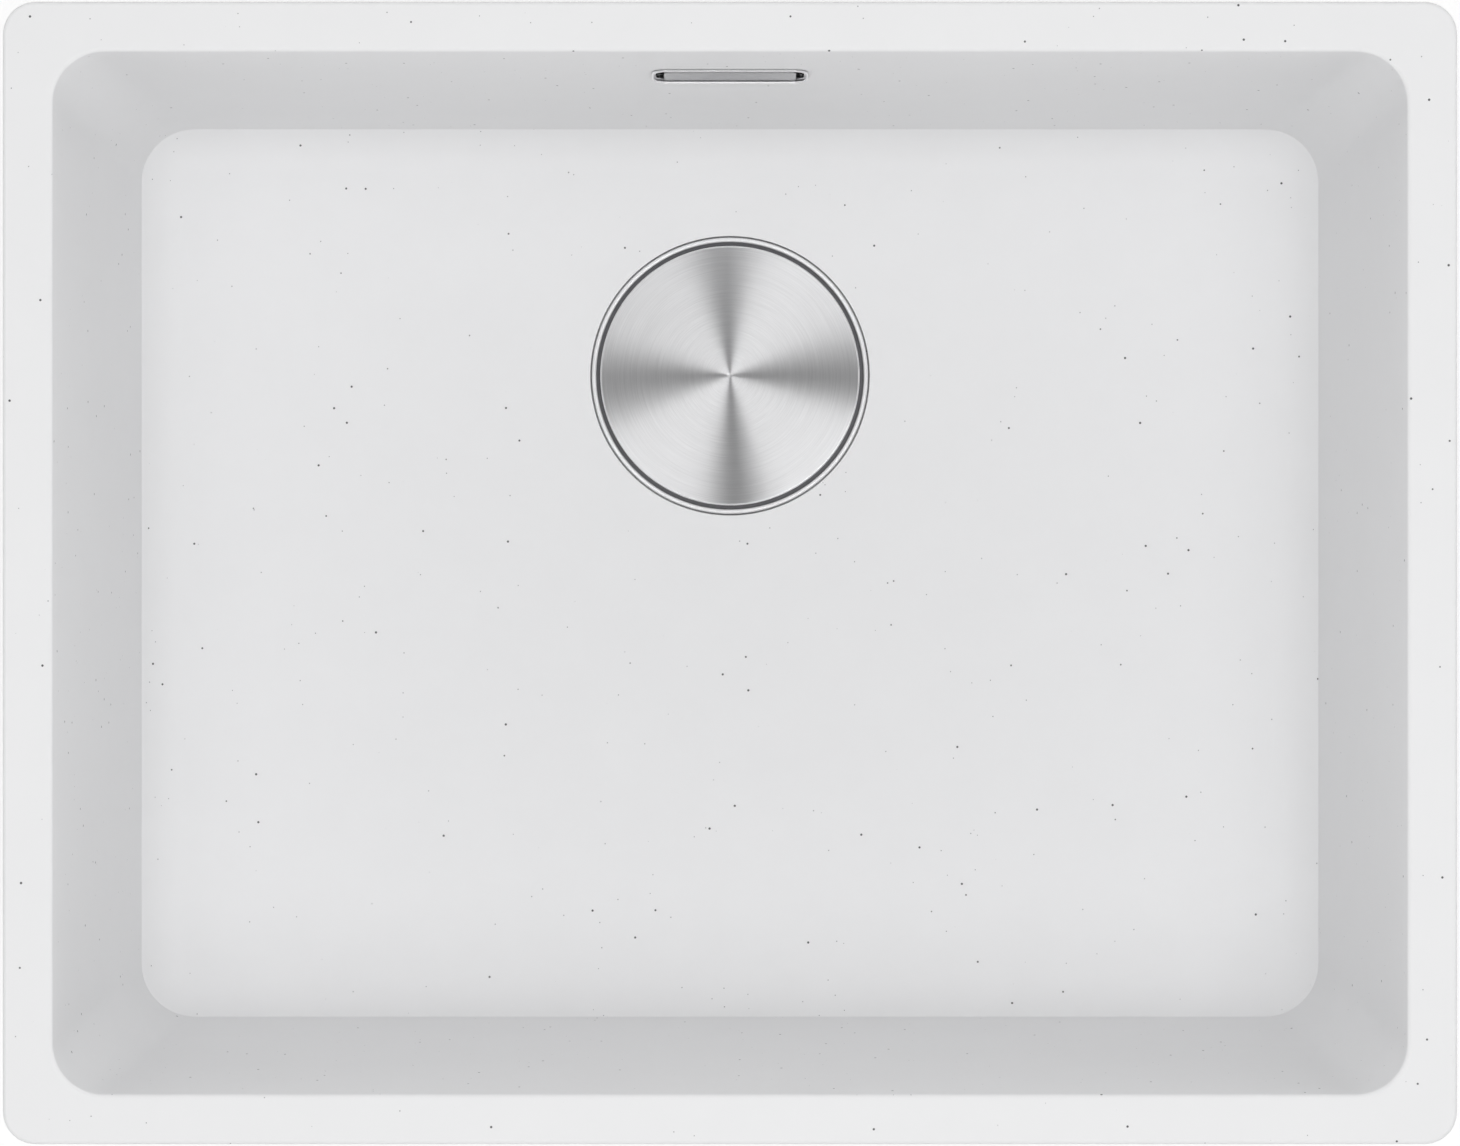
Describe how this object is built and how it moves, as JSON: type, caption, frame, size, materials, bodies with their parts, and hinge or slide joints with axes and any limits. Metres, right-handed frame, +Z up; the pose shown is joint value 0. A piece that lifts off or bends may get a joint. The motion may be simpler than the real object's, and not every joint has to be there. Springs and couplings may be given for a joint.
{
  "type": "undermount kitchen sink",
  "caption": "Rectangular single-bowl undermount sink with a flat flange, a covered strainer waste set towards the back and a slotted overflow in the back wall.",
  "frame": {"origin": "centre of the bowl's opening, in the flange's top face, where the worktop's underside lies", "axes": "+X along the long side to the right, +Y towards the wall with the overflow, +Z up"},
  "size_m": [0.555, 0.436, 0.2932],
  "materials": {
    "composite": "satin white mineral composite with sparse dark specks",
    "polished_steel": "polished stainless steel",
    "brushed_steel": "circular brushed stainless steel",
    "brass": "turned",
    "rubber": "matte",
    "white_plastic": "moulded",
    "grey_plastic": "moulded"
  },
  "bodies": {
    "sink": {"bowl": "composite", "waste_cup": "polished_steel", "rim_seal": "rubber", "lower_gasket": "rubber", "waste_body": "white_plastic", "outlet_cone": "white_plastic", "waste_spider": "white_plastic", "centre_screw": "brushed_steel", "centre_insert": "brass", "overflow_pipe": "white_plastic", "overflow_nut": "white_plastic", "overflow_seal": "rubber", "overflow_elbow": "white_plastic", "overflow_gasket": "rubber", "overflow_frame": "polished_steel", "overflow_screw_left": "brushed_steel", "overflow_screw_right": "brushed_steel"},
    "basket": {"basket_shell": "brushed_steel", "basket_stopper": "rubber", "basket_stem": "brushed_steel", "basket_knob": "grey_plastic", "basket_nut": "brass", "basket_clip": "brushed_steel"},
    "cover": {"cover_disc": "brushed_steel", "cover_foot_1": "rubber", "cover_foot_2": "rubber", "cover_foot_3": "rubber"},
    "overflow_cover": {"overflow_plate": "brushed_steel"}
  },
  "joints": [
    {"name": "basket_lift", "type": "slide", "parent": "sink", "child": "basket", "axis": [0, 0, 1], "range_m": [0, 0.27]},
    {"name": "cover_lift", "type": "slide", "parent": "basket", "child": "cover", "axis": [0, 0, 1], "range_m": [0, 0.22]},
    {"name": "overflow_plate_pull", "type": "slide", "parent": "sink", "child": "overflow_cover", "axis": [0, -0.9962, 0.0872], "range_m": [0, 0.02]}
  ]
}
